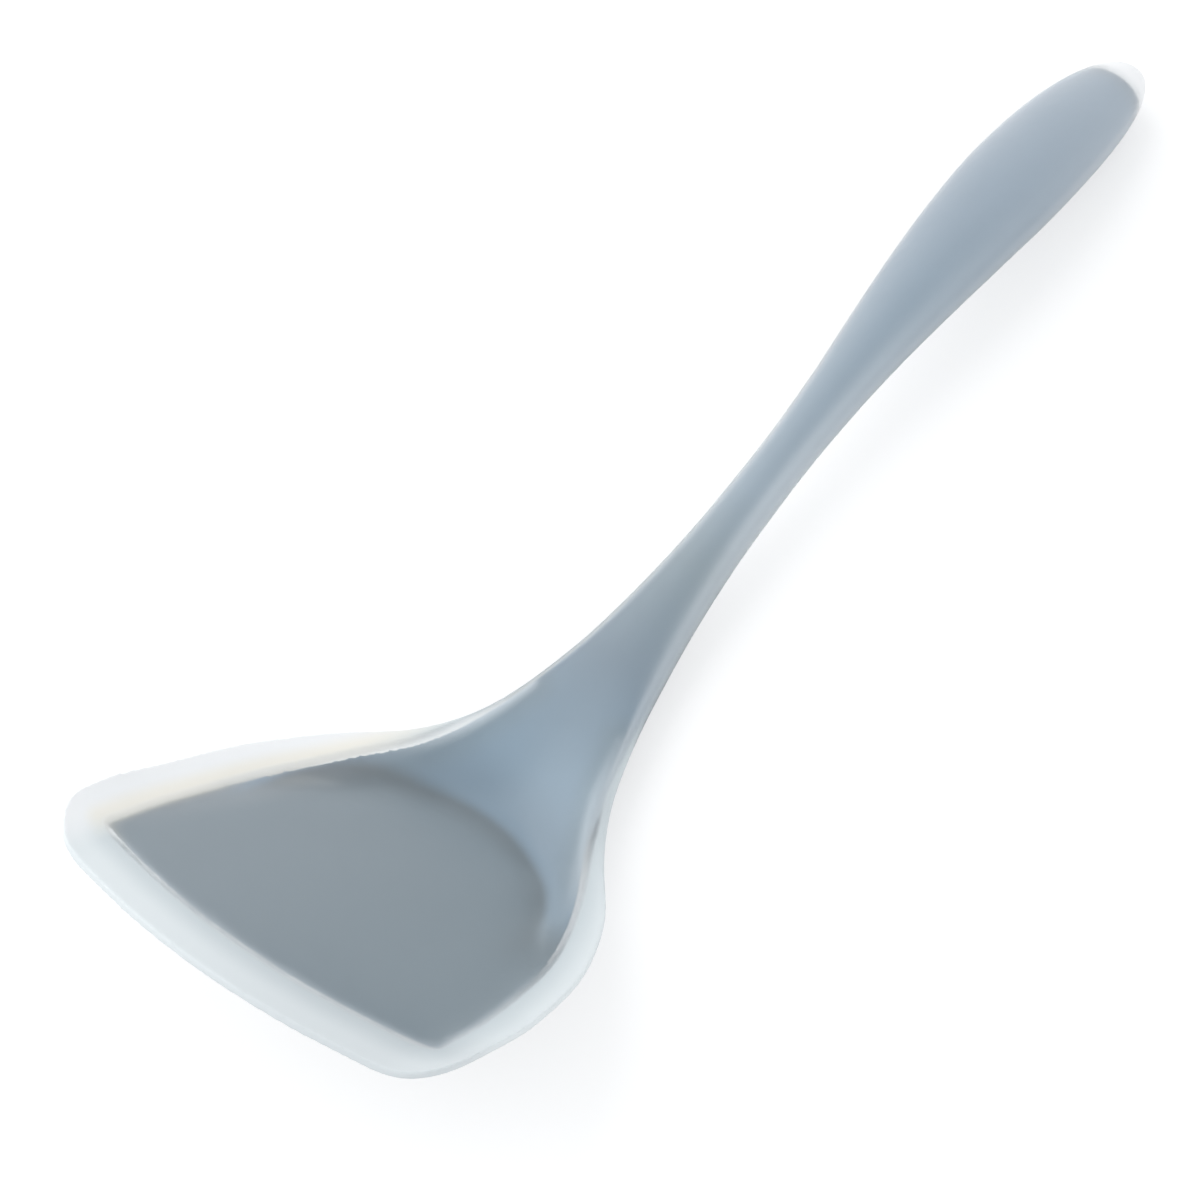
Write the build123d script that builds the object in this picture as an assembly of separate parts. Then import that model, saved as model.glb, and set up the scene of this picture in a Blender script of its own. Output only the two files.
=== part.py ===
from build123d import *
import math
import os

# A silicone wok turner: a stiff core of blade, raised shoulder, neck and grip inside one moulded silicone skin,
# with a steel rod in the neck and grip. Sizes are in millimetres.
# The tool is drawn with its pan level: X runs from the blade's front to the grip, Y runs across, and Z is up from
# the pan's middle plane. X is zero on the line through the core's two front corners. The finished pieces are then
# laid down as the tool lies on a table, on its heel and the end of its grip.

# Spine: a level pan, a bend at the heel, a straight rising neck, and a grip that bends back down
pan_length = 74.7
heel_bend_radius = 40.0
neck_rise_angle = 43.7
neck_end = 207.0
grip_bend_radius = 275.0
waist_place = 179.3
grip_widest_place = 266.3
tool_end = 313.4

# Blade
blade_width = 109.6
front_bulge = 7.3
corner_radius = 13.0
side_lip = 8.3
front_lip = 12.0
lip_edge_thickness = 1.8
lip_rise = 7.5
core_edge_rise = 5.1
heel_dip = 3.0
plate_thickness = 2.2
plate_rim_bevel = 2.6
skin_thickness = 1.2

# Neck and grip, outside the skin
neck_width = 11.4
neck_thickness = 10.8
grip_width = 24.6
grip_thickness = 17.2
grip_skin_thickness = 1.5
nose_thickness = 7.5
nose_roundness = 2.35
core_end_roundness = 3.6

# Reinforcing rod
rod_diameter = 4.0
rod_start = 100.0
rod_end = 272.0

# Flat sole moulded under the pan
sole_length = 46.0
sole_width = 68.0
sole_rise = 0.15

# One overrun for every solid that trims another
overrun = 20.0

# Where the points of a cross-section lie, from its middle to its edge
skin_across_shares = (0.25, 0.5, 0.66, 0.79, 0.9, 1.0)
core_across_shares = (0.25, 0.5, 0.68, 0.84, 0.93, 1.0)

# Blade stations: place over the level length, half width over the blade's, lip rise, core edge rise, crease place
# over the core's half width
blade_shares = (
    (-0.43, 1.004, 0.70, 0.00, 0.99),
    (-0.10, 1.004, 0.70, 0.00, 0.99),
    (0.13, 0.992, 0.60, 0.00, 0.99),
    (0.28, 0.975, 0.54, 0.00, 0.99),
    (0.43, 0.953, 0.54, 0.03, 0.98),
    (0.57, 0.929, 0.56, 0.08, 0.97),
    (0.71, 0.896, 0.61, 0.18, 0.93),
    (0.84, 0.850, 0.67, 0.36, 0.89),
)

# Shoulder stations: place between the heel and the waist, half width between the waist's and the heel's, lip rise,
# core edge rise, crease place over the core's half width, lip width, dip of the middle, thickness between the
# blade's and the neck's, and how round the section is
heel_width_share = 0.775
shoulder_shares = (
    (0.000, 1.000, 0.80, 0.66, 0.83, 0.97, 0.00, 0.00, 0.00),
    (0.052, 0.903, 0.89, 0.88, 0.75, 0.89, 0.17, 0.00, 0.00),
    (0.102, 0.786, 0.90, 0.96, 0.60, 0.74, 0.68, 0.00, 0.00),
    (0.152, 0.660, 0.82, 0.93, 0.20, 0.58, 0.98, 0.06, 0.04),
    (0.202, 0.551, 0.70, 0.85, 0.00, 0.43, 0.55, 0.19, 0.14),
    (0.250, 0.448, 0.56, 0.71, 0.00, 0.28, 0.25, 0.37, 0.30),
    (0.300, 0.361, 0.35, 0.48, 0.00, 0.13, 0.08, 0.59, 0.50),
    (0.365, 0.274, 0.19, 0.27, 0.00, 0.03, 0.00, 0.80, 0.75),
    (0.445, 0.196, 0.09, 0.13, 0.00, 0.00, 0.00, 0.94, 0.92),
    (0.555, 0.118, 0.00, 0.00, 0.00, 0.00, 0.00, 1.00, 1.00),
    (0.695, 0.051, 0.00, 0.00, 0.00, 0.00, 0.00, 1.00, 1.00),
    (0.845, 0.011, 0.00, 0.00, 0.00, 0.00, 0.00, 1.00, 1.00),
)

# Grip stations: place between the waist and the widest, and swelling from the neck's size to the grip's
grip_shares = ((0.0, 0.0), (0.22, 0.11), (0.42, 0.35), (0.62, 0.63), (0.82, 0.87), (1.0, 1.0))

# A rounded end is drawn in this many even turns of a quarter circle, and stops this share of a turn short
nose_turns = 8
nose_stop_share = 0.4

# How the core's wall starts: 1 would rise straight from the crease
wall_power = 1.6

# The bevel under the core's rim ends where the rim has risen by this share of its full rise
bevel_end_share = 0.55

# Steps of the search for the lying angle
level_steps = 12

# How far apart cross-sections are drawn along the spine, about
section_spacing = 7.0

# Worked out from the sizes above
blade_half_width = blade_width / 2
core_half_width = blade_half_width - side_lip
rise = math.radians(neck_rise_angle)
heel_start = pan_length - heel_bend_radius * math.tan(rise / 2)
heel_end = heel_start + heel_bend_radius * rise
heel_half_width = blade_half_width * heel_width_share
blade_half_thickness = plate_thickness / 2 + skin_thickness


def spine_at(place):
    """The spine's point and slope at a distance along it."""
    if place <= heel_start:
        return place, 0.0, 0.0
    if place <= heel_end:
        slope = (place - heel_start) / heel_bend_radius
        return (
            heel_start + heel_bend_radius * math.sin(slope),
            heel_bend_radius * (1 - math.cos(slope)),
            slope,
        )
    straight = min(place, neck_end) - heel_end
    x = heel_start + heel_bend_radius * math.sin(rise) + straight * math.cos(rise)
    z = heel_bend_radius * (1 - math.cos(rise)) + straight * math.sin(rise)
    slope = rise
    if place > neck_end:
        slope = rise - (place - neck_end) / grip_bend_radius
        x += grip_bend_radius * (math.sin(rise) - math.sin(slope))
        z += grip_bend_radius * (math.cos(slope) - math.cos(rise))
    return x, z, slope


def between(low, high, share):
    return low + (high - low) * share


def stations():
    """The sizes of every cross-section, from the blade's front to the grip's widest place."""
    for place, width, lip, edge, crease in blade_shares:
        yield dict(
            place=place * heel_start, half_width=width * blade_half_width, lip=lip * lip_rise,
            edge=edge * core_edge_rise, crease=crease, margin=side_lip, dip=0.0,
            half_thickness=blade_half_thickness, skin=skin_thickness, roundness=0.0,
        )
    for place, width, lip, edge, crease, margin, dip, thickness, roundness in shoulder_shares:
        yield dict(
            place=between(heel_start, waist_place, place),
            half_width=between(neck_width / 2, heel_half_width, width), lip=lip * lip_rise,
            edge=edge * core_edge_rise, crease=crease, margin=between(grip_skin_thickness, side_lip, margin),
            dip=-dip * heel_dip, half_thickness=between(blade_half_thickness, neck_thickness / 2, thickness),
            skin=between(skin_thickness, grip_skin_thickness, thickness), roundness=roundness,
        )
    for place, swelling in grip_shares:
        yield dict(
            place=between(waist_place, grip_widest_place, place),
            half_width=between(neck_width, grip_width, swelling) / 2, lip=0.0, edge=0.0, crease=0.0,
            margin=grip_skin_thickness, dip=0.0,
            half_thickness=between(neck_thickness, grip_thickness, swelling) / 2,
            skin=grip_skin_thickness, roundness=1.0,
        )


def slope_between(before, here, after, name):
    """A slope at a row that never makes the curve through the rows overshoot them."""
    back = (here[name] - before[name]) / (here["place"] - before["place"])
    ahead = (after[name] - here[name]) / (after["place"] - here["place"])
    if back * ahead <= 0:
        return 0.0
    return 2 * back * ahead / (back + ahead)


def sizes_at(rows, place):
    """The cross-section's sizes at a distance along the spine, on a smooth curve through the rows."""
    last = max(i for i in range(len(rows) - 1) if rows[i]["place"] <= place or i == 0)
    low, high = rows[last], rows[last + 1]
    before = rows[max(last - 1, 0)]
    after = rows[min(last + 2, len(rows) - 1)]
    gap = high["place"] - low["place"]
    t = (place - low["place"]) / gap
    found = {}
    for name in low:
        rise_low = slope_between(before, low, high, name) if last > 0 else (high[name] - low[name]) / gap
        rise_high = slope_between(low, high, after, name) if after is not high else 0.0
        found[name] = (
            (2 * t**3 - 3 * t**2 + 1) * low[name] + (t**3 - 2 * t**2 + t) * gap * rise_low
            + (3 * t**2 - 2 * t**3) * high[name] + (t**3 - t**2) * gap * rise_high
        )
    found["place"] = place
    return found


def drawn_sections():
    """The sizes at even steps from the blade's front to the grip's widest place."""
    rows = list(stations())
    start, end = rows[0]["place"], rows[-1]["place"]
    count = round((end - start) / section_spacing)
    return [sizes_at(rows, between(start, end, step / count)) for step in range(count + 1)]


def nose_sizes(end, roundness):
    """Place and size share of each cross-section of a rounded end. It is blunter with more roundness."""
    for turn in range(1, nose_turns + 1):
        share = math.sin(math.pi / 2 * turn / (nose_turns + nose_stop_share))
        size = (1 - share**roundness) ** (1 / roundness)
        yield between(grip_widest_place, end, share), size


def ramp(value, start, end):
    """Rises from 0 at start to 1 at end."""
    if value <= start:
        return 0.0
    return min(1.0, (value - start) / (end - start))


def front_edge_x(corner_x, y):
    """Where a bowed front edge lies in plan. It passes corner_x at the core's half width."""
    bow_radius = (core_half_width**2 + front_bulge**2) / (2 * front_bulge)
    return corner_x - front_bulge + bow_radius - math.sqrt(bow_radius**2 - y**2)


def section_points(size, heights, half_sizes, across_shares, thin_front=False, bevel=0.0):
    """The upper and the lower points of one cross-section, square to the spine. heights are the middle surface's
    at the centre, the core's edge and the rim, and half_sizes are the half thicknesses at the centre and the rim.
    bevel is how much narrower the underside is at the rim."""
    centre, edge, rim = heights
    half_centre, half_rim = half_sizes
    edge_place = size["edge_place"]
    power = between(wall_power, 1.0, size["crease"])
    narrowing = 1 - bevel / size["half_width"]
    x, z, slope = spine_at(size["place"])
    across = Plane(origin=(x, 0, z), x_dir=(0, 1, 0), z_dir=(math.cos(slope), 0, math.sin(slope)))
    upper, lower = [], []
    halves = [(-1, share) for share in reversed(across_shares)] + [(1, 0.0)] + [(1, s) for s in across_shares]
    for side, share in halves:
        out = between(share, math.sin(math.pi / 2 * share), size["roundness"])
        y = side * out * size["half_width"]
        bow = (front_edge_x(0.0, y) - front_edge_x(0.0, 0.0)) * (1 - ramp(size["place"], 0.0, heel_start))
        lip_share = ramp(out, edge_place, 1.0)
        wall = ramp(out, size["crease"] * edge_place, edge_place) ** power
        middle = between(centre, edge, wall) + (rim - edge) * lip_share
        arched = math.sqrt(max(0.0, 1 - out * out))
        half = between(half_rim, half_centre, between(1 - lip_share, arched, size["roundness"]))
        if thin_front:
            half = between(half_rim, half, ramp(size["place"], -front_lip - front_bulge, -front_bulge))
        upper.append(across.from_local_coords((y, middle + half, bow)))
        lower.append(across.from_local_coords((y * narrowing, middle - half, bow)))
    return upper, lower


def skin_sections():
    for size in drawn_sections():
        size["edge_place"] = 1 - size["margin"] / size["half_width"]
        yield section_points(
            size, (size["dip"], size["edge"], size["lip"]), (size["half_thickness"], lip_edge_thickness / 2),
            skin_across_shares, thin_front=size["place"] < heel_start,
        )
    yield from nose_sections(tool_end, nose_roundness, 0.0, lip_edge_thickness, skin_across_shares)


def core_sections():
    for size in drawn_sections():
        half = size["half_thickness"] - size["skin"]
        size["half_width"] -= size["margin"]
        size["edge_place"] = 1.0
        bevel = 0.0
        if size["place"] < heel_start:
            bevel = plate_rim_bevel * (1 - ramp(size["edge"], 0.0, bevel_end_share * core_edge_rise))
        yield section_points(
            size, (size["dip"], size["edge"], size["edge"]), (half, min(half, plate_thickness / 2)),
            core_across_shares, bevel=bevel,
        )
    core_end = tool_end - nose_thickness
    yield from nose_sections(core_end, core_end_roundness, grip_skin_thickness, plate_thickness, core_across_shares)


def nose_sections(end, roundness, inset, rim_thickness, across_shares):
    for place, share in nose_sizes(end, roundness):
        size = dict(
            place=place, half_width=share * (grip_width / 2 - inset), edge_place=1.0, crease=0.0, roundness=1.0,
        )
        half_sizes = (share * (grip_thickness / 2 - inset), share * rim_thickness / 2)
        yield section_points(size, (0.0, 0.0, 0.0), half_sizes, across_shares)


def length_shares(rows):
    """How far along the rows lie, as shares of the mean length from the first row to the last."""
    lengths = [0.0]
    for row, ahead in zip(rows, rows[1:]):
        steps = [(there - here).length for here, there in zip(row, ahead)]
        lengths.append(lengths[-1] + sum(steps) / len(steps))
    return [length / lengths[-1] for length in lengths]


def smooth_patch(rows, across_shares):
    """A face through curves that run across and along the rows of points."""
    half_shares = [share / 2 for share in across_shares]
    cross_shares = [0.5 - share for share in reversed(half_shares)] + [0.5] + [0.5 + share for share in half_shares]
    along_shares = length_shares(rows)
    across = [Edge.make_spline(row, parameters=cross_shares) for row in rows]
    along = [Edge.make_spline(list(column), parameters=along_shares) for column in zip(*rows)]
    return Face.make_gordon_surface(across, along)


def patched_body(sections, across_shares):
    """A solid with one smooth patch above, one below, and narrow faces between their borders."""
    faces = []
    borders = []
    for rows in zip(*sections):
        patch = smooth_patch(rows, across_shares)
        sides = patch.edges().sort_by(Axis.Y)
        ends = ShapeList(sides[1:-1]).sort_by(Axis.X)
        faces.append(patch)
        borders.append([sides[0], sides[-1], ends[0], ends[-1]])
    for above, below in zip(*borders):
        faces.append(Face.make_surface_from_curves(above, below))
    return Solid(Shell(faces))


def plan_trim(corner_x, half_side, radius, bevel):
    """A block with the bowed front edge in plan. Its corners are rounded if radius isn't 0, and its front slants
    back by the bevel between the plate's top and underside."""
    side_x = front_edge_x(corner_x, half_side)
    reach = 2 * (tool_end + overrun)
    outline = Wire(
        [
            ThreePointArc((side_x, -half_side), (front_edge_x(corner_x, 0.0), 0), (side_x, half_side)),
            Line((side_x, half_side), (reach, half_side)),
            Line((reach, half_side), (reach, -half_side)),
            Line((reach, -half_side), (side_x, -half_side)),
        ]
    )
    region = Face(outline)
    if radius > 0:
        corners = region.vertices().sort_by(Axis.X)[:2]
        region = region.fillet_2d(radius, corners)
    below = overrun + plate_thickness / 2
    start = Pos(bevel * below / plate_thickness, 0, -overrun)
    return start * extrude(region, reach, dir=Vector(-bevel, 0, plate_thickness))


def make_sole():
    """The slightly raised flat under the pan. It starts level with the core's front corners."""
    depth = sole_rise + skin_thickness / 2
    middle = (sole_length / 2, 0, depth / 2 - blade_half_thickness - sole_rise)
    return Pos(*middle) * Box(sole_length, sole_width, depth)


def spine_point(place):
    x, z, _ = spine_at(place)
    return x, 0, z


def make_rod():
    """A round rod along the spine, straight in the neck and bent with the grip."""
    bend = ThreePointArc(spine_point(neck_end), spine_point((neck_end + rod_end) / 2), spine_point(rod_end))
    path = Wire([Line(spine_point(rod_start), spine_point(neck_end)), bend])
    _, _, slope = spine_at(rod_start)
    start = Plane(spine_point(rod_start), x_dir=(0, 1, 0), z_dir=(math.cos(slope), 0, math.sin(slope)))
    return sweep(start * Circle(rod_diameter / 2), path=path)


def lying_angle(body):
    """The turn about Y that sets the heel and the grip's end on one level."""
    split_x = (pan_length + tool_end) / 2
    blade_end = body.split(Plane(origin=(split_x, 0, 0), z_dir=(1, 0, 0)), keep=Keep.BOTTOM)
    grip_end = body.split(Plane(origin=(split_x, 0, 0), z_dir=(1, 0, 0)), keep=Keep.TOP)
    angle = neck_rise_angle
    for _ in range(level_steps):
        low_blade = blade_end.rotate(Axis.Y, angle).bounding_box().min
        low_grip = grip_end.rotate(Axis.Y, angle).bounding_box().min
        gap = low_grip.Z - low_blade.Z
        angle += math.degrees(math.atan2(gap, tool_end - pan_length))
    return angle


skin_body = patched_body(skin_sections(), skin_across_shares)
skin_body = skin_body & plan_trim(-front_lip, blade_half_width, corner_radius, 0.0)
skin_body = skin_body + make_sole()
core_body = patched_body(core_sections(), core_across_shares)
core_body = core_body & plan_trim(0.0, blade_half_width, 0.0, plate_rim_bevel)
rod = make_rod()

pieces = {
    "silicone_skin": skin_body - core_body,
    "nylon_core": core_body - rod,
    "steel_rod": rod,
}

# Laid down: turned to its lying angle, with the origin under the middle of its box, at the table
angle = lying_angle(skin_body)
box = skin_body.rotate(Axis.Y, angle).bounding_box()
shift = (-box.center().X, 0, -box.min.Z)
print("lying angle", angle, "shift", shift)

os.makedirs("parts", exist_ok=True)
for name, piece in pieces.items():
    print(name, "valid" if piece.is_valid else "not valid", "volume", round(piece.volume, 1))
    export_step(piece.rotate(Axis.Y, angle).translate(shift), f"parts/{name}.step")
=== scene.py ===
import math

import bmesh
import bpy
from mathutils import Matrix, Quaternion, Vector
from mathutils.bvhtree import BVHTree
from mathutils.kdtree import KDTree


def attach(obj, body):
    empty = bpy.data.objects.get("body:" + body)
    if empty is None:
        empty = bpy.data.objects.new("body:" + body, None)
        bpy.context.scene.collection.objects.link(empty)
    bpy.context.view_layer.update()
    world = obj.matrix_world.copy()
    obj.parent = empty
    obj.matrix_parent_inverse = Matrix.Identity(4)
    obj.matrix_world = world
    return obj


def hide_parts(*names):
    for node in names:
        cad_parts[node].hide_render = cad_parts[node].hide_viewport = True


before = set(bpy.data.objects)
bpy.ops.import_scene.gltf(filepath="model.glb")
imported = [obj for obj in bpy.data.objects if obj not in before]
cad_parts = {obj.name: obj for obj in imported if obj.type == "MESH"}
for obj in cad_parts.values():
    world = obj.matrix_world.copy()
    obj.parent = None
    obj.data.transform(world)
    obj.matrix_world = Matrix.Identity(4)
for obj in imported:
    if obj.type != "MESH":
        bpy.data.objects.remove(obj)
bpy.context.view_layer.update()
print("frame loaded:", sorted(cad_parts))


class Signal:
    # wraps one output socket of a node tree, so that shader maths reads as plain sums
    def __init__(self, tree, socket=None):
        self.tree = tree
        self.socket = socket

    def node(self, kind, settings=None, values=None, output=0):
        made = self.tree.nodes.new(kind)
        for name, value in (settings or {}).items():
            if name == "stops":
                fillRamp(made.color_ramp, value)
            else:
                setattr(made, name, value)
        for name, value in (values or {}).items():
            if isinstance(value, Signal):
                self.tree.links.new(value.socket, made.inputs[name])
            else:
                made.inputs[name].default_value = value
        return Signal(self.tree, made.outputs[output])

    def maths(self, operation, first, second):
        return self.node("ShaderNodeMath", {"operation": operation}, {0: first, 1: second})

    def __add__(self, other):
        return self.maths("ADD", self, other)

    __radd__ = __add__

    def __mul__(self, other):
        return self.maths("MULTIPLY", self, other)

    __rmul__ = __mul__

    def __sub__(self, other):
        return self.maths("SUBTRACT", self, other)

    def __rsub__(self, other):
        return self.maths("SUBTRACT", other, self)

    def __pow__(self, other):
        return self.maths("POWER", self, other)

    def axis(self, name):
        # one number out of a place or a direction
        return self.node("ShaderNodeSeparateXYZ", values={"Vector": self}, output=name)

    def ease(self, low, high, fromValue=0.0, toValue=1.0):
        # fromValue up to low, toValue from high on, and a soft change between
        return self.node(
            "ShaderNodeMapRange", {"interpolation_type": "SMOOTHSTEP"},
            {"Value": self, "From Min": low, "From Max": high, "To Min": fromValue, "To Max": toValue},
        )

    def fade(self, low, high, fromValue=1.0):
        # fromValue up to low, and nothing from high on
        return self.ease(low, high, fromValue, 0.0)

    def window(self, start, end):
        # 1 between the two soft changes, and nothing outside them
        return self.ease(*start) * self.fade(*end)

    def noise(self, size, detail):
        # a soft noise between 0 and 1 at this place
        return self.node("ShaderNodeTexNoise", values={"Vector": self, "Scale": size, "Detail": detail})

    def swing(self, middle, spread):
        # a noise between 0 and 1, turned into one round the middle
        return (self - 0.5) * spread + middle

    def bump(self, depth, strength):
        # the normal of a surface that has this as its height
        return self.node(
            "ShaderNodeBump", values={"Height": self, "Distance": depth, "Strength": strength},
            output="Normal",
        )

    def plain(self, colour):
        # a colour that is the same all over, to be tinted
        made = self.node("ShaderNodeRGB")
        made.socket.default_value = colour
        return made

    def tint(self, share, colour, blend="MIX"):
        # this colour, mixed with another by the share: 6 and 7 are the mix node's two colour sockets
        return self.node("ShaderNodeMix", {"data_type": "RGBA", "blend_type": blend},
                         {0: share, 6: self, 7: colour}, output=2)

    def ramp(self, low, high, stops):
        # colours by this value, which runs from low to high, and each stop stands at a value
        places = [((spot - low) / (high - low), colour) for spot, colour in stops]
        share = self.node("ShaderNodeMapRange", values={"Value": self, "From Min": low, "From Max": high})
        return self.node("ShaderNodeValToRGB", {"stops": places}, {"Fac": share})


def fillRamp(ramp, stops):
    (firstPlace, firstColour), *others = stops
    ramp.elements.remove(ramp.elements[1])
    ramp.elements[0].position = firstPlace
    ramp.elements[0].color = firstColour
    for place, colour in others:
        ramp.elements.new(place).color = colour


def newMaterial(name):
    # an empty material: itself, a signal to build from, and its output node
    material = bpy.data.materials.new(name)
    material.use_nodes = True
    material.node_tree.nodes.clear()
    out = material.node_tree.nodes.new("ShaderNodeOutputMaterial")
    return material, Signal(material.node_tree), out


def connect(signal, socket):
    signal.tree.links.new(signal.socket, socket)


def deselectAll():
    if bpy.context.object and bpy.context.object.mode != "OBJECT":
        bpy.ops.object.mode_set(mode="OBJECT")
    bpy.ops.object.select_all(action="DESELECT")


def pick(obj):
    deselectAll()
    obj.select_set(True)
    bpy.context.view_layer.objects.active = obj


def applyModifier(obj, kind, settings):
    pick(obj)
    bpy.ops.object.modifier_add(type=kind)
    modifier = obj.modifiers[-1]
    for name, value in settings.items():
        setattr(modifier, name, value)
    bpy.ops.object.modifier_apply(modifier=modifier.name)


mergeDistance = 0.00002  # a CAD mesh is loose triangles until their corners are merged


def outerCopy(nodeName, name):
    # a copy of a node's outside alone: merged, split into loose shells, the largest kept
    pick(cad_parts[nodeName])
    bpy.ops.object.duplicate()
    copy = bpy.context.object
    for key in list(copy.keys()):
        del copy[key]
    copy.parent = None
    bpy.ops.object.mode_set(mode="EDIT")
    bpy.ops.mesh.select_all(action="SELECT")
    bpy.ops.mesh.remove_doubles(threshold=mergeDistance)
    bpy.ops.mesh.customdata_custom_splitnormals_clear()
    bpy.ops.mesh.separate(type="LOOSE")
    bpy.ops.object.mode_set(mode="OBJECT")
    shells = sorted(bpy.context.selected_objects, key=lambda shell: shell.dimensions.length)
    outside = shells.pop()
    for shell in shells:
        bpy.data.objects.remove(shell)
    outside.name = name
    outside.data.name = name
    return outside


def soften(obj, sizes):
    # an even mesh over the whole piece, its hard edges eased, and then thinned out
    applyModifier(obj, "REMESH", {"mode": "VOXEL", "voxel_size": sizes["voxel"], "use_smooth_shade": True})
    applyModifier(obj, "SMOOTH", {"factor": sizes["easeStrength"], "iterations": sizes["easeRounds"]})
    applyModifier(obj, "DECIMATE", {"ratio": sizes["keptShare"]})
    pick(obj)
    bpy.ops.object.shade_smooth()


def storeDistance(obj, name, distanceAt):
    # a value at each vertex for the materials to read
    values = [distanceAt(vertex.co) for vertex in obj.data.vertices]
    attribute = obj.data.attributes.new(name, "FLOAT", "POINT")
    attribute.data.foreach_set("value", values)


def surfaceDistance(obj):
    # both trees give the distance last, after the point that they found
    tree = BVHTree.FromObject(obj, bpy.context.evaluated_depsgraph_get())
    return lambda point: tree.find_nearest(point)[3]


def sharpEdgeDistance(obj, angle, spacing):
    # from points along the edges where two faces meet at more than the angle
    shape = bmesh.new()
    shape.from_mesh(obj.data)
    points = []
    for edge in shape.edges:
        if len(edge.link_faces) == 2 and edge.calc_face_angle() > angle:
            start, end = (vertex.co.copy() for vertex in edge.verts)
            steps = max(1, round((end - start).length / spacing))
            points += [start.lerp(end, step / steps) for step in range(steps + 1)]
    shape.free()
    tree = KDTree(len(points))
    for index, point in enumerate(points):
        tree.insert(point, index)
    tree.balance()
    return lambda point: tree.find(point)[2]


# How the tool lies: its pan's own level frame, in which X runs from the blade's front to the grip's end
# and Y to the left side
lying = {
    "turn": math.radians(38.927915),
    "shift": (-0.140596, 0.0, 0.050475),
    "sideLean": 0.25,  # how fast the blade's left side draws in towards the shoulder
}


def panCoordinates(start):
    place = start.node("ShaderNodeTexCoord", output="Object")
    level = start.node(
        "ShaderNodeMapping", {"vector_type": "TEXTURE"},
        {"Vector": place, "Location": lying["shift"], "Rotation": (0, lying["turn"], 0)},
    )
    return [level.axis(name) for name in "XY"]


# The skin: frosted silicone, one outer surface with the core seen through it. Lengths are in metres, and
# most pairs are where a soft change starts and ends
skin = {
    "voxel": 0.00036,
    "easeRounds": 12,
    "easeStrength": 0.5,
    "keptShare": 0.26,
    "colour": (0.97, 0.985, 0.99, 1),
    "innerMilk": (0.655, 0.712, 0.732, 1),
    "outerMilk": (0.82, 0.865, 0.875, 1),
    "milkSpan": (0.0015, 0.0085),
    "brightMilk": (1.0, 1.0, 1.0, 1),
    "leftSide": (0.040, 0.050),
    "leftLightShare": 0.9,
    "gripStart": (0.10, 0.25),
    "warmTint": (0.985, 0.945, 0.86, 1),
    "warmStart": (0.0010, 0.0016),
    "warmEnd": (0.0024, 0.0064),
    "warmReach": (0.12, 0.20),
    "frontShade": (0.90, 0.90, 0.905, 1),
    "frontReach": (-0.002, 0.012),
    "frontSide": (-0.030, 0.030),
    "bladeMilk": 0.0003,
    "bladeEnd": (0.050, 0.090),
    "flankMilk": 0.0009,
    "flankFacing": (-0.80, -0.15),
    "flankStart": (0.030, 0.060),
    "flankEnd": (0.090, 0.112),
    "flankSide": (-0.014, 0.0),
    "thinDepth": 0.00155,
    "thickDepth": 0.0026,
    "thinMilk": 0.12,
    "thickMilk": 0.90,
    "slantPower": 2.0,
    "slantMilk": 0.42,
    "cloudSize": 60.0,
    "cloudDetail": 2.0,
    "cloudSpread": 0.10,
    "roughness": 0.42,
    "smudgeSize": 45.0,
    "smudgeDetail": 3.0,
    "smudgeSpread": 0.10,
    "ior": 1.41,
    "grainSize": 900.0,
    "grainDetail": 2.0,
    "grainDepth": 0.00002,
    "grainStrength": 0.3,
}


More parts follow.
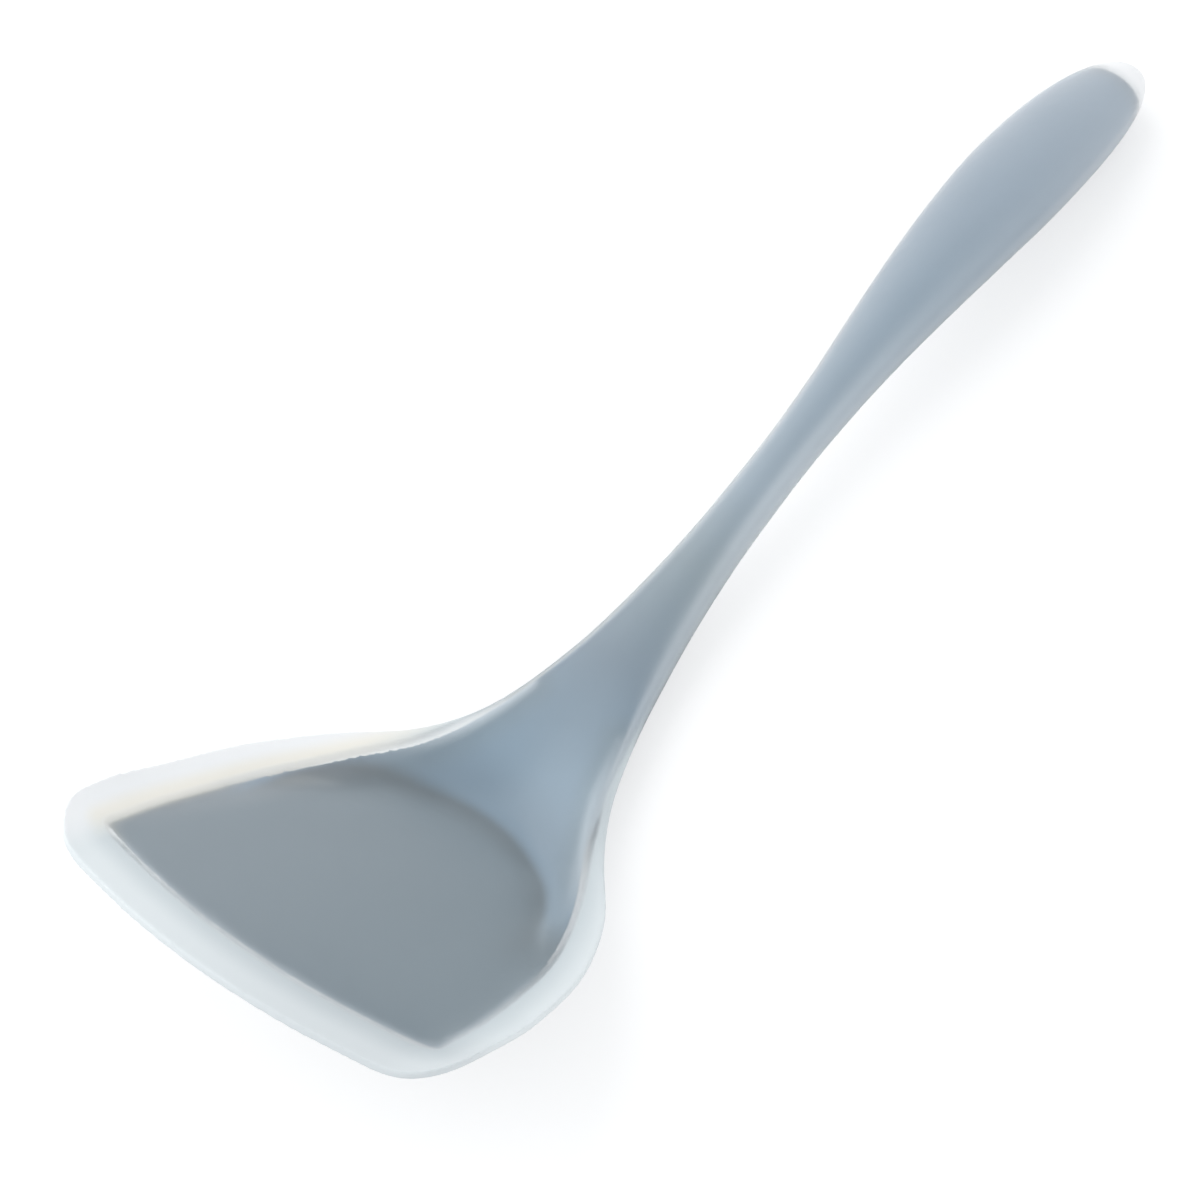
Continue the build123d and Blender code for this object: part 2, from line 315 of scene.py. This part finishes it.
def makeSkinMaterial():
    material, start, out = newMaterial("frosted_silicone")
    place = start.node("ShaderNodeTexCoord", output="Object")
    facingY = start.node("ShaderNodeTexCoord", output="Normal").axis("Y")
    panX, panY = panCoordinates(start)
    bump = place.noise(skin["grainSize"], skin["grainDetail"]).bump(skin["grainDepth"], skin["grainStrength"])
    smudge = place.noise(skin["smudgeSize"], skin["smudgeDetail"])
    roughness = smudge.swing(skin["roughness"], skin["smudgeSpread"])
    # the silicone is milkier where it stands further out from the core, and where it is seen at a slant;
    # the blade and the right flank beside the shoulder count as a little thicker than they are
    depth = start.node("ShaderNodeAttribute", {"attribute_name": "coreDistance"}, output="Fac")
    over = panX.fade(*skin["bladeEnd"], skin["bladeMilk"]) + depth
    flankThere = panX.window(skin["flankStart"], skin["flankEnd"]) * panY.fade(*skin["flankSide"])
    over = facingY.fade(*skin["flankFacing"], skin["flankMilk"]) * flankThere + over
    thick = over.ease(skin["thinDepth"], skin["thickDepth"], skin["thinMilk"], skin["thickMilk"])
    cloud = place.noise(skin["cloudSize"], skin["cloudDetail"]).swing(1.0, skin["cloudSpread"])
    slant = start.node("ShaderNodeLayerWeight", output="Facing") ** skin["slantPower"] * skin["slantMilk"]
    milky = thick * cloud + slant
    # the milk takes some of the core's colour near it, and is bright towards the grip; it has painted light,
    # brighter along the left side where the left lamp falls, is warm in a narrow band along that side of the
    # blade, and has painted shade at the front, where it is duller
    left = (panX * lying["sideLean"] + panY).ease(*skin["leftSide"])
    milkColour = start.plain(skin["innerMilk"]).tint(depth.ease(*skin["milkSpan"]), skin["outerMilk"])
    # painted light: the milk brighter along the left side
    milkColour = milkColour.tint(left * skin["leftLightShare"], skin["brightMilk"])
    milkColour = milkColour.tint(panX.ease(*skin["gripStart"]), skin["brightMilk"])
    warm = left * depth.window(skin["warmStart"], skin["warmEnd"]) * panX.fade(*skin["warmReach"])
    milkColour = milkColour.tint(warm, skin["warmTint"], "MULTIPLY")
    # painted shade: the milk duller at the front
    front = panX.fade(*skin["frontReach"]) * panY.fade(*skin["frontSide"])
    milkColour = milkColour.tint(front, skin["frontShade"], "MULTIPLY")
    clear = start.node(
        "ShaderNodeBsdfPrincipled",
        values={
            "Base Color": skin["colour"], "Roughness": roughness, "IOR": skin["ior"],
            "Transmission Weight": 1.0, "Normal": bump,
        },
        output="BSDF",
    )
    milk = start.node(
        "ShaderNodeBsdfPrincipled",
        values={"Base Color": milkColour, "Roughness": roughness, "IOR": skin["ior"], "Normal": bump},
        output="BSDF",
    )
    both = start.node("ShaderNodeMixShader", values={0: milky, 1: clear, 2: milk})
    connect(both, out.inputs["Surface"])
    return material


skinPiece = outerCopy("silicone_skin", "frosted_skin")
soften(skinPiece, skin)
storeDistance(skinPiece, "coreDistance", surfaceDistance(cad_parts["nylon_core"]))
skinPiece.data.materials.clear()
skinPiece.data.materials.append(makeSkinMaterial())
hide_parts("silicone_skin")
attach(skinPiece, "root")
skinPiece.visible_shadow = False  # the lamps reach the core through it
skinPiece.visible_diffuse = False  # and so does the sky
print("skin:", len(skinPiece.data.polygons), "faces")

# The core: one blue-grey moulding, blade, shoulder, neck and grip, with light and shade painted into its
# colour. A tone of painted light or shade stands at its place along the tool, and a painted crease shade at
# its distance from the middle of the pan's round end, with the crease at 1
core = {
    "voxel": 0.00040,
    "easeRounds": 4,
    "easeStrength": 0.5,
    "keptShare": 0.45,
    # painted light and shade: the pan lighter on its left and darker on its right, and the wall lighter and
    # bluer
    "panLitLeft": (0.150, 0.197, 0.234, 1),
    "panShadedRight": (0.104, 0.157, 0.195, 1),
    "panHalf": 0.045,
    "wallLitColour": (0.178, 0.268, 0.352, 1),
    "wallEdge": (0.99, 1.06),
    "wallStart": (0.038, 0.054),
    "wallLean": 0.25,  # the wall starts further back on the right
    # tones of painted light and shade along the tool
    "lightAndShadeTones": (
        (-0.066, (0.208, 0.310, 0.402, 1)),
        (-0.036, (0.157, 0.219, 0.278, 1)),
        (-0.008, (0.205, 0.266, 0.305, 1)),
        (0.014, (0.260, 0.333, 0.397, 1)),
        (0.070, (0.208, 0.289, 0.364, 1)),
        (0.106, (0.219, 0.296, 0.372, 1)),
        (0.139, (0.262, 0.337, 0.412, 1)),
    ),
    "toneSpan": (-0.16, 0.16),
    "toneStart": (-0.078, -0.064),
    "rimAngle": math.radians(35),
    "rimSpacing": 0.0004,
    # painted light: its pale colour on the core's rims and flanks, and how much of it each gets
    "paintedLightColour": (0.75, 0.80, 0.84, 1),
    "rimFade": 0.0022,
    "rimLitShare": 0.34,
    "rimEnd": (0.030, 0.044),
    "frontFacing": (-0.45, 0.25),
    "frontLitShare": 0.30,
    "warmRim": (0.82, 0.74, 0.58, 1),
    "warmSide": (0.036, 0.045),
    "greyTint": (0.93, 0.89, 0.84, 1),
    "greyFade": (0.0015, 0.0085),
    "greyStart": (0.050, 0.075),
    "shoulderFade": 0.0030,
    "shoulderLitShare": 0.62,
    "shoulderStart": (0.060, 0.090),
    "shoulderEnd": (0.135, 0.165),
    "shoulderSide": (0.0, 0.015),
    "wingFade": 0.0034,
    "wingLitShare": 0.46,
    "wingStart": (0.056, 0.074),
    "wingEnd": (0.082, 0.110),
    "wingSide": (-0.02, 0.02),
    "wingFacing": (-0.75, -0.25),
    "wingFlankLitShare": 0.60,
    "rightFacing": (-1.0, -0.22),
    "rightLitShare": 0.42,
    "rightReach": (0.0, 0.115),
    "rightLeast": 0.08,
    "leftFacing": (0.40, 0.86),
    "leftLitShare": 0.42,
    "leftReach": (0.150, 0.190),
    "creaseCentre": (0.0400, 0.0030),
    "creaseRadius": 0.0352,
    "creaseStart": (0.030, 0.054),
    "creaseSpan": (0.70, 1.10),
    "creaseShade": (
        (0.70, 1.0), (0.76, 0.97), (0.84, 0.92), (0.89, 0.85), (0.945, 0.75), (1.0, 0.68), (1.035, 0.84),
        (1.07, 1.0),
    ),
    # painted shade at the pan's corners
    "cornerShade": (0.78, 0.78, 0.78, 1),
    "cornerEdge": (0.98, 1.05),
    "flowSize": 30.0,
    "flowDetail": 3.0,
    "flowSpread": 0.06,
    "roughness": 0.55,
    "textureSize": 2500.0,
    "textureDetail": 2.0,
    "textureDepth": 0.00001,
    "textureStrength": 0.4,
}


def paintPan(start, panX, panY, along):
    # painted light and shade: the pan lighter on the left and darker on the right, the wall behind it lighter
    # and bluer, and the tones of light and shade along the shoulder, neck and grip; outward is the distance
    # from the middle of the pan's round end, and 1 on the crease
    centreX, centreY = core["creaseCentre"]
    outX = start.maths("MAXIMUM", panX - centreX, 0.0)
    outY = panY - centreY
    outward = (outX * outX + outY * outY) ** 0.5 * (1 / core["creaseRadius"])
    wallThere = (panY * core["wallLean"] + panX).ease(*core["wallStart"])
    across = panY.fade(-core["panHalf"], core["panHalf"])
    body = start.plain(core["panLitLeft"]).tint(across, core["panShadedRight"])
    body = body.tint(outward.ease(*core["wallEdge"]) * wallThere, core["wallLitColour"])
    body = body.tint(along.ease(*core["toneStart"]), along.ramp(*core["toneSpan"], core["lightAndShadeTones"]))
    return body, outward, wallThere


def paintEdges(start, body, panX, panY, along):
    # painted light: paler at the blade's rim, as if lit through the silicone, with less on the edges that
    # face the front and a warm tone on the left, and greyer towards the shoulder's rim
    rim = start.node("ShaderNodeAttribute", {"attribute_name": "rimDistance"}, output="Fac")
    facing = start.node("ShaderNodeTexCoord", output="Normal")
    facingX = facing.axis("X")
    facingY = facing.axis("Y")
    leftSide = (panX * lying["sideLean"] + panY).ease(*core["warmSide"])
    rimTone = start.plain(core["paintedLightColour"]).tint(leftSide, core["warmRim"])
    pale = rim.fade(0.0, core["rimFade"], core["rimLitShare"]) * panX.fade(*core["rimEnd"])
    pale = facingX.ease(*core["frontFacing"], core["frontLitShare"], 1.0) * pale
    grey = rim.fade(*core["greyFade"]) * panX.ease(*core["greyStart"])
    body = body.tint(grey, core["greyTint"], "MULTIPLY")
    body = body.tint(pale, rimTone)
    # more painted light: paler again at the shoulder's left rim, and at the rim and flank of the right wing,
    # the flank as if lit from the floor
    shoulder = panX.window(core["shoulderStart"], core["shoulderEnd"]) * panY.ease(*core["shoulderSide"])
    shoulderRim = rim.fade(0.0, core["shoulderFade"], core["shoulderLitShare"])
    body = body.tint(shoulderRim * shoulder, core["paintedLightColour"])
    wing = panX.window(core["wingStart"], core["wingEnd"]) * panY.fade(*core["wingSide"])
    wingRim = rim.fade(0.0, core["wingFade"], core["wingLitShare"])
    wingFlank = facingY.fade(*core["wingFacing"], core["wingFlankLitShare"])
    body = body.tint(start.maths("MAXIMUM", wingRim, wingFlank) * wing, core["paintedLightColour"])
    # and painted light along both sides of the neck, on the right less and less towards the grip's end
    right = facingY.fade(*core["rightFacing"], core["rightLitShare"])
    right = right * along.ease(*core["rightReach"], 1.0, core["rightLeast"])
    body = body.tint(right * panX.ease(*core["wingEnd"]), core["paintedLightColour"])
    left = facingY.ease(*core["leftFacing"], 0.0, core["leftLitShare"]) * panX.fade(*core["leftReach"])
    return body.tint(left * panX.ease(*core["shoulderStart"]), core["paintedLightColour"])


def paintCrease(body, panX, outward, wallThere):
    # painted shade: darker in the crease where the pan meets the wall, and at the pan's corners outside the
    # wall
    behind = panX.ease(*core["creaseStart"])
    shades = [(spot, (shade, shade, shade, 1)) for spot, shade in core["creaseShade"]]
    body = body.tint(behind, outward.ramp(*core["creaseSpan"], shades), "MULTIPLY")
    corner = outward.ease(*core["cornerEdge"]) * behind * (1.0 - wallThere)
    return body.tint(corner, core["cornerShade"], "MULTIPLY")


def makeCoreMaterial():
    material, start, out = newMaterial("blue_grey_nylon")
    place = start.node("ShaderNodeTexCoord", output="Object")
    along = place.axis("X")
    panX, panY = panCoordinates(start)
    body, outward, wallThere = paintPan(start, panX, panY, along)
    body = paintEdges(start, body, panX, panY, along)
    body = paintCrease(body, panX, outward, wallThere)
    # uneven flow of the plastic, and a fine moulded texture
    flow = place.noise(core["flowSize"], core["flowDetail"]).swing(1.0, core["flowSpread"])
    shade = start.node("ShaderNodeCombineColor", values={0: flow, 1: flow, 2: flow})
    body = body.tint(1.0, shade, "MULTIPLY")
    texture = place.noise(core["textureSize"], core["textureDetail"])
    bump = texture.bump(core["textureDepth"], core["textureStrength"])
    shader = start.node(
        "ShaderNodeBsdfPrincipled",
        values={"Base Color": body, "Roughness": core["roughness"], "Normal": bump},
        output="BSDF",
    )
    connect(shader, out.inputs["Surface"])
    return material


corePiece = outerCopy("nylon_core", "stiff_core")
rimDistance = sharpEdgeDistance(corePiece, core["rimAngle"], core["rimSpacing"])
soften(corePiece, core)
storeDistance(corePiece, "rimDistance", rimDistance)
corePiece.data.materials.clear()
corePiece.data.materials.append(makeCoreMaterial())
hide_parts("nylon_core")
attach(corePiece, "root")
print("core:", len(corePiece.data.polygons), "faces")

# The rod inside the neck and grip: drawn steel, with fine lines along it
rod = {
    "darkColour": (0.45, 0.46, 0.47, 1),
    "brightColour": (0.66, 0.67, 0.68, 1),
    "darkSpot": 0.3,
    "brightSpot": 0.7,
    "lineStretch": (30.0, 3000.0, 3000.0),
    "lineDetail": 2.0,
    "smoothest": 0.22,
    "roughest": 0.40,
}


def makeRodMaterial():
    material, start, out = newMaterial("drawn_steel")
    place = start.node("ShaderNodeTexCoord", output="Object")
    stretched = start.node("ShaderNodeMapping", values={"Vector": place, "Scale": rod["lineStretch"]})
    lines = stretched.noise(1.0, rod["lineDetail"])
    stops = ((rod["darkSpot"], rod["darkColour"]), (rod["brightSpot"], rod["brightColour"]))
    roughness = lines * (rod["roughest"] - rod["smoothest"]) + rod["smoothest"]
    shader = start.node(
        "ShaderNodeBsdfPrincipled",
        values={"Base Color": lines.ramp(0.0, 1.0, stops), "Metallic": 1.0, "Roughness": roughness},
        output="BSDF",
    )
    connect(shader, out.inputs["Surface"])
    return material


steel = makeRodMaterial()
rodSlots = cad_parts["steel_rod"].material_slots
for rodSlot in rodSlots:
    rodSlot.material = steel
print("rod:", len(rodSlots), "material slots")

# The floor: pale, white to the camera, and it keeps the tool's shadow
floor = {
    "size": 12.0,
    "drop": 0.00005,
    "colour": (0.55, 0.55, 0.55, 1),
    "lift": 0.56,
}
white = (1, 1, 1, 1)


def backgroundMask(start):
    # 1 for rays that show the background, 0 for light that bounces off the tool
    def flag(name):
        return start.node("ShaderNodeLightPath", output=name)

    seen = start.node(
        "ShaderNodeMath", {"operation": "ADD", "use_clamp": True},
        {0: flag("Is Camera Ray"), 1: flag("Is Glossy Ray") + flag("Is Transmission Ray")},
    )
    # the depth counts the matt surfaces that the light has met so far
    direct = start.maths("LESS_THAN", flag("Diffuse Depth"), 0.5)
    return seen * direct


def makeFloorMaterial():
    material, start, out = newMaterial("pale_floor")
    mask = backgroundMask(start)
    matte = start.node("ShaderNodeBsdfDiffuse", values={"Color": floor["colour"]})
    glow = start.node("ShaderNodeEmission", values={"Color": white, "Strength": mask * floor["lift"]})
    both = start.node("ShaderNodeAddShader", values={0: matte, 1: glow})
    connect(both, out.inputs["Surface"])
    return material


deselectAll()
bpy.ops.mesh.primitive_plane_add(size=floor["size"], location=(0, 0, -floor["drop"]))
floorPiece = bpy.context.object
floorPiece.name = "floor"
floorPiece.data.materials.append(makeFloorMaterial())
print("floor laid")

# Lights: a soft sky that is brighter towards the horizon, and a wide soft lamp on each side
light = {
    "skyColour": (0.94, 0.97, 1.0, 1),
    "skyTop": 0.50,
    "skyHorizon": 1.18,
    "leftFrom": (-0.25, 0.70, 0.66),
    "leftStrength": 1.25,
    "rightFrom": (0.20, -0.90, 0.38),
    "rightStrength": 0.54,
    "spread": 60.0,
}


def makeSky():
    world = bpy.data.worlds.new("soft_sky")
    bpy.context.scene.world = world
    world.use_nodes = True
    world.node_tree.nodes.clear()
    start = Signal(world.node_tree)
    height = start.node("ShaderNodeTexCoord", output="Generated").axis("Z")
    strength = height.ease(0.0, 1.0, light["skyHorizon"], light["skyTop"])
    sky = start.node("ShaderNodeBackground", values={"Color": light["skyColour"], "Strength": strength})
    backdrop = start.node("ShaderNodeBackground", values={"Color": white, "Strength": 1.0})
    shown = start.node("ShaderNodeMixShader", values={0: backgroundMask(start), 1: sky, 2: backdrop})
    out = world.node_tree.nodes.new("ShaderNodeOutputWorld")
    connect(shown, out.inputs["Surface"])


def addLamp(name, towards, strength):
    deselectAll()
    bpy.ops.object.light_add(type="SUN", location=towards)
    lamp = bpy.context.object
    lamp.name = name
    lamp.data.energy = strength
    lamp.data.angle = math.radians(light["spread"])
    lamp.rotation_mode = "QUATERNION"
    lamp.rotation_quaternion = Vector(towards).to_track_quat("Z", "Y")


makeSky()
addLamp("left_lamp", light["leftFrom"], light["leftStrength"])
addLamp("right_lamp", light["rightFrom"], light["rightStrength"])
print("lights set")

# The camera: where the photograph was taken from
camera = {
    "place": (-0.330616, -0.45, 0.899659),
    "aim": (-0.030744, 0.005635, 0.025),
    "roll": -20.509,
    "lens": 142.36,
    "sensor": 36.0,
    "nearest": 0.01,
    "farthest": 50.0,
}
deselectAll()
bpy.ops.object.camera_add(location=camera["place"])
eye = bpy.context.object
eye.name = "photo_camera"
eye.data.lens = camera["lens"]
eye.data.sensor_width = camera["sensor"]
eye.data.clip_start = camera["nearest"]
eye.data.clip_end = camera["farthest"]
ahead = Vector(camera["aim"]) - Vector(camera["place"])
roll = Quaternion((0, 0, 1), math.radians(camera["roll"]))
eye.rotation_mode = "QUATERNION"
eye.rotation_quaternion = ahead.to_track_quat("-Z", "Y") @ roll
bpy.context.scene.camera = eye
print("camera set")

bpy.context.scene.view_settings.view_transform = "Standard"
